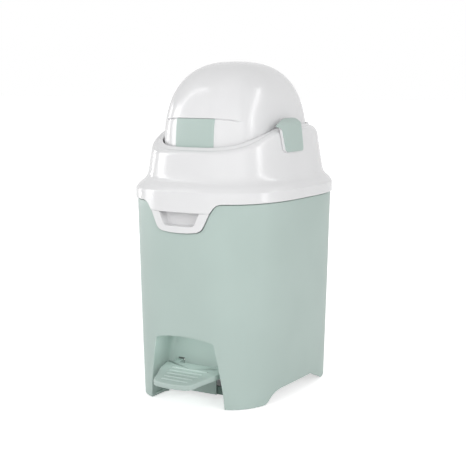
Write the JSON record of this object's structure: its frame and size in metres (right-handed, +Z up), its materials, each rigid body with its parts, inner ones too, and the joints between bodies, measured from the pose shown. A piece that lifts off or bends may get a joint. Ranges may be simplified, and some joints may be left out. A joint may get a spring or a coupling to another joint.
{
  "type": "pedal nappy bin",
  "caption": "Pedal bin for nappies: tapered shell with feet, hinged hood and a domed lid that turns back when the pedal is pressed.",
  "frame": {"origin": "bottom centre of the whole bin, on the floor", "axes": "+Z up, -Y towards the pedal and the front, +X across the bin"},
  "size_m": [0.26, 0.3826, 0.5279],
  "materials": {
    "mint_plastic": "satin mint plastic",
    "white_gloss": "glossy white plastic",
    "white_plastic": "satin white plastic",
    "steel": "brushed steel",
    "spring_steel": "drawn spring wire",
    "grey_plastic": "grey bearing plastic",
    "rubber": "dark rubber"
  },
  "bodies": {
    "bin": {"outer_shell": "mint_plastic", "rubber_feet": "rubber", "inner_bucket": "white_plastic", "bag_ring": "white_plastic", "rim_seal": "rubber", "shaft_bracket": "steel", "shaft_bracket_screws": "steel", "rod_guides": "grey_plastic", "hinge_bracket": "steel", "hinge_bracket_screws": "steel"},
    "pedal": {"pedal": "mint_plastic", "pedal_shaft": "steel", "lift_lever": "steel", "shaft_clips": "spring_steel"},
    "rod": {"push_rod": "steel", "rod_foot": "grey_plastic", "rod_pad": "grey_plastic", "spring_collar": "grey_plastic", "return_spring": "spring_steel"},
    "hood": {"hood": "white_gloss", "side_cap_left": "mint_plastic", "side_cap_right": "mint_plastic", "pivot_bush_left": "grey_plastic", "pivot_bush_right": "grey_plastic", "hood_leaf": "steel", "hood_leaf_screws": "steel", "hinge_pin": "steel"},
    "dome": {"dome": "white_gloss", "grip_insert": "mint_plastic", "pivot_hub_left": "white_plastic", "pivot_hub_right": "white_plastic", "lift_crank": "steel", "crank_screw": "steel", "closing_spring": "spring_steel"}
  },
  "joints": [
    {"name": "hood_hinge", "type": "hinge", "parent": "bin", "child": "hood", "pos_m": [0, 0.1873, 0.317], "axis": [-1, 0, 0], "range_deg": [0, 75]},
    {"name": "dome_swing", "type": "hinge", "parent": "hood", "child": "dome", "pos_m": [0, -0.0037, 0.408], "axis": [-1, 0, 0], "range_deg": [0, 65], "stiffness_Nm_per_rad": 0.12, "springref_deg": -148.97},
    {"name": "pedal_press", "type": "hinge", "parent": "bin", "child": "pedal", "pos_m": [0, -0.0757, 0.03], "axis": [1, 0, 0], "range_deg": [0, 15.5]},
    {"name": "rod_lift", "type": "slide", "parent": "bin", "child": "rod", "axis": [0, 0, 1], "range_m": [0, 0.0161], "stiffness_N_per_m": 150, "springref_m": -0.03, "deforming": ["return_spring"]}
  ],
  "couplings": [
    {"joint": "pedal_press", "follows": "dome_swing", "ratio": 0.2384},
    {"joint": "rod_lift", "follows": "dome_swing", "m_per_rad": 0.01419}
  ]
}
